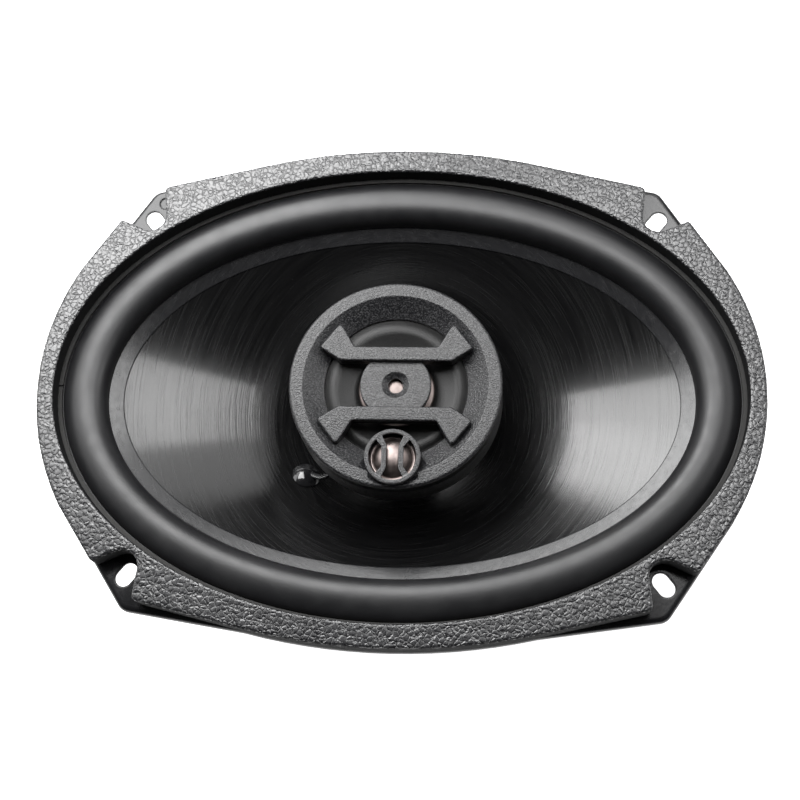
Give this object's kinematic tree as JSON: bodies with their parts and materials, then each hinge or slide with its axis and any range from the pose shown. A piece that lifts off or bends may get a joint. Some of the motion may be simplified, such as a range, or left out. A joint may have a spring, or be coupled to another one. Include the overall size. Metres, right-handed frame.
{
  "type": "coaxial car speaker",
  "caption": "Oval three-way coaxial car speaker: stamped basket, notched gasket, rubber-edged cone, centre midrange and offset tweeter pod.",
  "frame": {"origin": "centre of the mounting plane, where the flange's turned-down rim meets the panel", "axes": "+Z the way the cone fires, +X along the long axis of the oval, +Y along the short axis, away from the tweeter pod"},
  "size_m": [0.2354, 0.1672, 0.0942],
  "materials": {
    "painted_steel": "gloss",
    "pebbled_rubber": "embossed satin",
    "fibre_card": "matte",
    "roll_rubber": "satin",
    "cone_plastic": "brushed gloss",
    "spider_cloth": "woven",
    "module_plastic": "fine grain",
    "zinc_steel": "zinc plated",
    "ferrite": "ground ceramic",
    "copper_wire": "enamelled copper",
    "former_foil": "foil",
    "glue": "gloss",
    "lead_braid": "sleeved braid",
    "brass_plate": "tin plated",
    "terminal_card": "phenolic",
    "paper_cone": "pressed paper",
    "rose_foil": "metallised",
    "capacitor_sleeve": "sleeve"
  },
  "bodies": {
    "frame": {"basket": "painted_steel", "basket_rivets": "zinc_steel", "front_gasket": "pebbled_rubber", "lower_module_lead": "lead_braid", "lower_rear_lead": "lead_braid", "magnet_ring": "ferrite", "midrange_capacitor": "capacitor_sleeve", "midrange_frame": "painted_steel", "midrange_grille": "module_plastic", "midrange_magnet": "ferrite", "midrange_top_plate": "zinc_steel", "midrange_yoke": "zinc_steel", "module_cup": "module_plastic", "module_post": "module_plastic", "module_trim_ring": "module_plastic", "negative_blade": "brass_plate", "pole_yoke": "zinc_steel", "positive_blade": "brass_plate", "post_bolt": "zinc_steel", "post_nut": "zinc_steel", "post_washer": "zinc_steel", "surround_clamp_ring": "fibre_card", "terminal_board": "terminal_card", "terminal_rivets": "brass_plate", "top_plate": "zinc_steel", "tweeter_capacitor": "capacitor_sleeve", "tweeter_grille": "module_plastic", "tweeter_magnet": "zinc_steel", "tweeter_pod": "module_plastic", "tweeter_top_plate": "zinc_steel", "tweeter_yoke": "zinc_steel", "upper_module_lead": "lead_braid", "upper_rear_lead": "lead_braid"},
    "woofer_moving": {"woofer_cone": "cone_plastic", "surround": "roll_rubber", "voice_coil_former": "former_foil", "voice_coil_winding": "copper_wire", "spider": "spider_cloth", "lead_glue_domes": "glue"},
    "midrange_moving": {"midrange_cone": "paper_cone", "midrange_dome": "rose_foil", "midrange_coil": "copper_wire", "midrange_surround": "roll_rubber"},
    "tweeter_moving": {"tweeter_dome": "rose_foil", "tweeter_coil": "copper_wire"}
  },
  "joints": [
    {"name": "woofer_stroke", "type": "slide", "parent": "frame", "child": "woofer_moving", "axis": [0, 0, 1], "range_m": [-0.0045, 0.0045], "stiffness_N_per_m": 3000, "deforming": ["surround", "spider", "upper_rear_lead", "lower_rear_lead", "upper_module_lead", "lower_module_lead"]},
    {"name": "midrange_stroke", "type": "slide", "parent": "frame", "child": "midrange_moving", "axis": [0, 0, 1], "range_m": [-0.0004, 0.0004], "stiffness_N_per_m": 1500, "deforming": ["midrange_surround"]},
    {"name": "tweeter_stroke", "type": "slide", "parent": "frame", "child": "tweeter_moving", "axis": [0, 0, 1], "range_m": [-0.00015, 0.00015], "stiffness_N_per_m": 1500}
  ]
}
